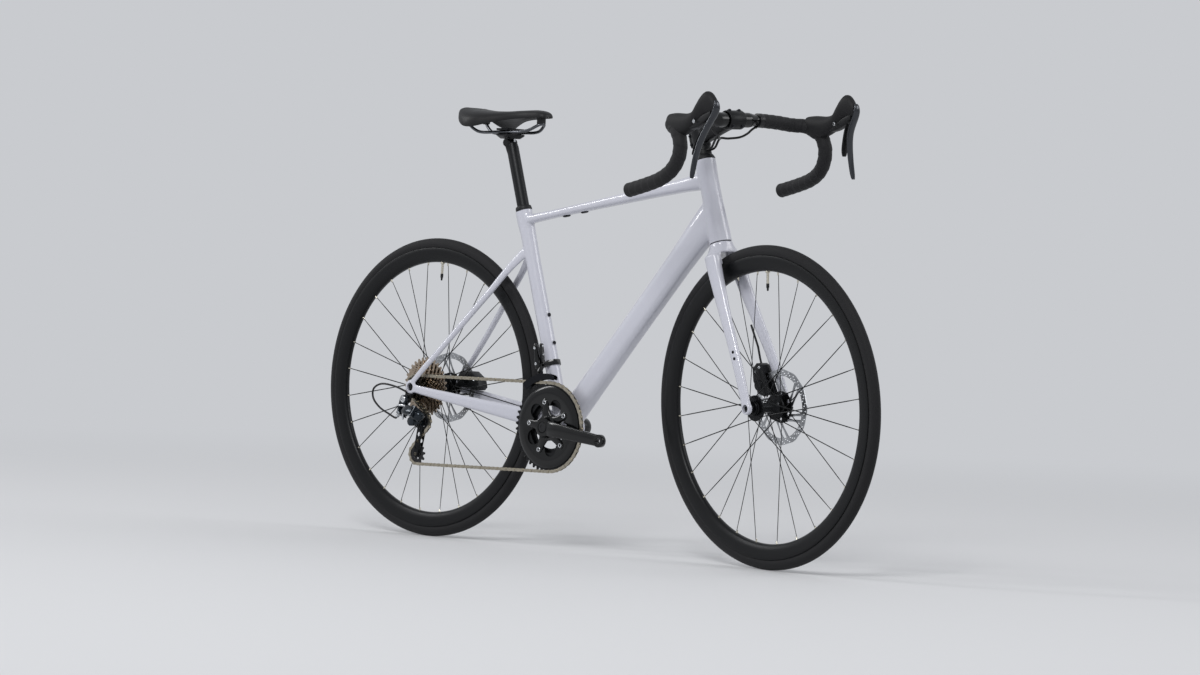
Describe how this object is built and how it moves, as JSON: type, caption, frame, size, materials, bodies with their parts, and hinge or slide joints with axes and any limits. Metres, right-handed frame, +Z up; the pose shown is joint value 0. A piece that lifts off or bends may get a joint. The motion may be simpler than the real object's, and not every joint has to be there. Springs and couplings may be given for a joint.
{
  "type": "road bicycle",
  "caption": "Road bike with a pale carbon frame and fork, disc brakes, drop bars, wide-range chain drive and flat-bladed spoked wheels, steered a little to the right.",
  "frame": {"origin": "on the ground under the middle of the whole bike's box", "axes": "+X forward, +Y to the rider's left, +Z up"},
  "size_m": [1.6648, 0.4786, 0.997],
  "materials": {
    "frame_paint": "gloss clear coat over pale lilac grey paint",
    "black_alloy": "satin black anodised",
    "crank_black": "gloss black",
    "bare_steel": "brushed stainless steel",
    "bronze_steel": "nickel and bronze coated sprockets",
    "chain_steel": "lightly oiled steel",
    "rim_carbon": "satin black carbon composite",
    "tyre_rubber": "matt black tyre rubber",
    "black_rubber": "matt black rubber",
    "black_plastic": "moulded black plastic",
    "bar_tape": "textured synthetic bar tape",
    "saddle_cover": "smooth synthetic cover"
  },
  "bodies": {
    "main_frame": {"frame": "frame_paint", "headset_bearing_upper": "bare_steel", "headset_bearing_lower": "bare_steel", "bb_cup_right": "black_alloy", "bb_cup_left": "black_alloy", "seat_clamp": "black_rubber", "derailleur_hanger": "black_alloy", "rear_thru_axle": "black_alloy", "rear_caliper": "black_alloy", "fd_base": "black_alloy", "chain": "chain_steel", "shift_housing": "black_rubber"},
    "steering": {"fork": "frame_paint", "headset_cover": "black_plastic", "stem": "black_alloy", "stem_faceplate": "black_alloy", "handlebar": "black_alloy", "bar_tape_left": "bar_tape", "bar_tape_right": "bar_tape", "lever_hood_left": "black_rubber", "lever_hood_right": "black_rubber", "brake_hose_left": "black_rubber", "brake_hose_right": "black_rubber", "front_caliper": "black_alloy", "front_thru_axle": "black_alloy"},
    "front_wheel": {"front_tyre": "tyre_rubber", "front_rim": "rim_carbon", "front_hub": "black_alloy", "front_rotor": "bare_steel"},
    "rear_wheel": {"rear_tyre": "tyre_rubber", "rear_rim": "rim_carbon", "rear_hub": "black_alloy", "rear_rotor": "bare_steel"},
    "cassette_body": {"cassette": "bronze_steel"},
    "crankset": {"crank_right": "crank_black", "crank_left": "crank_black", "ring_outer": "black_alloy", "ring_inner": "black_alloy"},
    "pad_front_inner": {"front_pad_inner": "bare_steel"},
    "pad_front_outer": {"front_pad_outer": "bare_steel"},
    "pad_rear_inner": {"rear_pad_inner": "bare_steel"},
    "pad_rear_outer": {"rear_pad_outer": "bare_steel"},
    "rd_base": {"rd_b_knuckle": "crank_black"},
    "rd_outer": {"rd_outer_link": "crank_black"},
    "rd_inner": {"rd_inner_link": "crank_black"},
    "rd_far": {"rd_p_knuckle": "crank_black"},
    "rd_cage_body": {"rd_cage": "black_alloy"},
    "guide_pulley_body": {"guide_pulley": "black_plastic"},
    "tension_pulley_body": {"tension_pulley": "black_plastic"},
    "fd_link_body": {"fd_link": "black_alloy"},
    "fd_cage_body": {"fd_cage": "bare_steel"},
    "lever_right": {"brake_lever_right": "black_alloy"},
    "lever_left": {"brake_lever_left": "black_alloy"},
    "paddle_right": {"shift_paddle_right": "black_plastic"},
    "paddle_left": {"shift_paddle_left": "black_plastic"},
    "seatpost_body": {"seatpost": "black_alloy"},
    "saddle_cradle": {"saddle_clamp": "black_alloy"},
    "saddle": {"saddle_rails": "bare_steel", "saddle_shell": "black_plastic", "saddle_cover": "saddle_cover"}
  },
  "joints": [
    {"name": "steering_turn", "type": "hinge", "parent": "main_frame", "child": "steering", "pos_m": [0.4529, 0.0129, 0.32557], "axis": [-0.2874, 0, 0.9578], "range_deg": [-51.2, 68.8]},
    {"name": "front_wheel_spin", "type": "hinge", "parent": "steering", "child": "front_wheel", "pos_m": [0.49549, 0.00602, 0.33835], "axis": [0.1465, 0.9882, 0.044], "continuous": true},
    {"name": "rear_wheel_spin", "type": "hinge", "parent": "main_frame", "child": "rear_wheel", "pos_m": [-0.496, 0.0129, 0.3385], "axis": [0, 1, 0], "continuous": true},
    {"name": "crank_spin", "type": "hinge", "parent": "main_frame", "child": "crankset", "pos_m": [-0.08805, 0.0129, 0.268], "axis": [0, 1, 0], "continuous": true, "deforming": ["chain"]},
    {"name": "cassette_spin", "type": "hinge", "parent": "main_frame", "child": "cassette_body", "pos_m": [-0.496, 0.0129, 0.3385], "axis": [0, 1, 0], "continuous": true},
    {"name": "rd_hanger_pivot", "type": "hinge", "parent": "main_frame", "child": "rd_base", "pos_m": [-0.504, -0.06085, 0.3105], "axis": [0, 1, 0], "range_deg": [0, 8], "stiffness_Nm_per_rad": 4, "deforming": ["chain", "shift_housing"]},
    {"name": "rd_swing", "type": "hinge", "parent": "rd_base", "child": "rd_outer", "pos_m": [-0.51, -0.07176, 0.28695], "axis": [0.1736, 0.4532, 0.8743], "range_deg": [-10.8, 41], "deforming": ["chain"]},
    {"name": "rd_inner_swing", "type": "hinge", "parent": "rd_base", "child": "rd_inner", "pos_m": [-0.51, -0.05844, 0.28005], "axis": [0.1736, 0.4532, 0.8743], "range_deg": [-10.8, 41]},
    {"name": "rd_far_swing", "type": "hinge", "parent": "rd_outer", "child": "rd_far", "pos_m": [-0.46438, -0.08663, 0.2856], "axis": [0.1736, 0.4532, 0.8743], "range_deg": [-41, 10.8]},
    {"name": "rd_cage_turn", "type": "hinge", "parent": "rd_far", "child": "rd_cage_body", "pos_m": [-0.47, -0.04332, 0.262], "axis": [0, 1, 0], "range_deg": [-60, 12], "stiffness_Nm_per_rad": 0.6, "deforming": ["chain"]},
    {"name": "guide_pulley_spin", "type": "hinge", "parent": "rd_cage_body", "child": "guide_pulley_body", "pos_m": [-0.47, -0.04332, 0.262], "axis": [0, 1, 0], "continuous": true},
    {"name": "tension_pulley_spin", "type": "hinge", "parent": "rd_cage_body", "child": "tension_pulley_body", "pos_m": [-0.48566, -0.04332, 0.18763], "axis": [0, 1, 0], "continuous": true},
    {"name": "fd_swing", "type": "hinge", "parent": "main_frame", "child": "fd_link_body", "pos_m": [-0.12967, -0.0171, 0.40585], "axis": [1, 0, 0], "range_deg": [0, 21], "deforming": ["chain"]},
    {"name": "fd_cage_swing", "type": "hinge", "parent": "fd_link_body", "child": "fd_cage_body", "pos_m": [-0.12967, -0.02672, 0.38775], "axis": [1, 0, 0], "range_deg": [-21, 0]},
    {"name": "brake_lever_right_pull", "type": "hinge", "parent": "steering", "child": "lever_right", "pos_m": [0.49787, -0.21707, 0.93224], "axis": [0.1465, 0.9882, 0.044], "range_deg": [0, 22], "stiffness_Nm_per_rad": 2},
    {"name": "brake_lever_left_pull", "type": "hinge", "parent": "steering", "child": "lever_left", "pos_m": [0.55473, 0.16636, 0.9493], "axis": [0.1465, 0.9882, 0.044], "range_deg": [0, 22], "stiffness_Nm_per_rad": 2},
    {"name": "shift_paddle_right_push", "type": "hinge", "parent": "lever_right", "child": "paddle_right", "pos_m": [0.49808, -0.2152, 0.91231], "axis": [0.9563, -0.1302, -0.2617], "range_deg": [0, 20], "stiffness_Nm_per_rad": 0.8},
    {"name": "shift_paddle_left_push", "type": "hinge", "parent": "lever_left", "child": "paddle_left", "pos_m": [0.55464, 0.16626, 0.92928], "axis": [-0.9563, 0.1302, 0.2617], "range_deg": [0, 20], "stiffness_Nm_per_rad": 0.8},
    {"name": "pad_front_inner_slide", "type": "slide", "parent": "steering", "child": "pad_front_inner", "axis": [0.1465, 0.9882, 0.044], "range_m": [0, 0.0004]},
    {"name": "pad_front_outer_slide", "type": "slide", "parent": "steering", "child": "pad_front_outer", "axis": [-0.1465, -0.9882, -0.044], "range_m": [0, 0.0004]},
    {"name": "pad_rear_inner_slide", "type": "slide", "parent": "main_frame", "child": "pad_rear_inner", "axis": [0, 1, 0], "range_m": [0, 0.0004]},
    {"name": "pad_rear_outer_slide", "type": "slide", "parent": "main_frame", "child": "pad_rear_outer", "axis": [0, -1, 0], "range_m": [0, 0.0004]},
    {"name": "seatpost_height", "type": "slide", "parent": "main_frame", "child": "seatpost_body", "axis": [-0.289, 0, 0.9573], "range_m": [-0.02, 0.08]},
    {"name": "saddle_tilt", "type": "hinge", "parent": "seatpost_body", "child": "saddle_cradle", "pos_m": [-0.28165, 0.0129, 0.893], "axis": [0, 1, 0], "range_deg": [-6, 6]},
    {"name": "saddle_fore_aft", "type": "slide", "parent": "saddle_cradle", "child": "saddle", "axis": [1, 0, 0], "range_m": [-0.015, 0.015]}
  ],
  "couplings": [
    {"joint": "cassette_spin", "follows": "crank_spin", "ratio": 3.6923},
    {"joint": "guide_pulley_spin", "follows": "crank_spin", "ratio": -4.3636},
    {"joint": "tension_pulley_spin", "follows": "crank_spin", "ratio": 4.3636},
    {"joint": "rd_inner_swing", "follows": "rd_swing", "ratio": 1},
    {"joint": "rd_far_swing", "follows": "rd_swing", "ratio": -1},
    {"joint": "fd_cage_swing", "follows": "fd_swing", "ratio": -1},
    {"joint": "pad_front_inner_slide", "follows": "brake_lever_left_pull", "m_per_rad": 0.00104},
    {"joint": "pad_front_outer_slide", "follows": "brake_lever_left_pull", "m_per_rad": 0.00104},
    {"joint": "pad_rear_inner_slide", "follows": "brake_lever_right_pull", "m_per_rad": 0.00104},
    {"joint": "pad_rear_outer_slide", "follows": "brake_lever_right_pull", "m_per_rad": 0.00104}
  ]
}
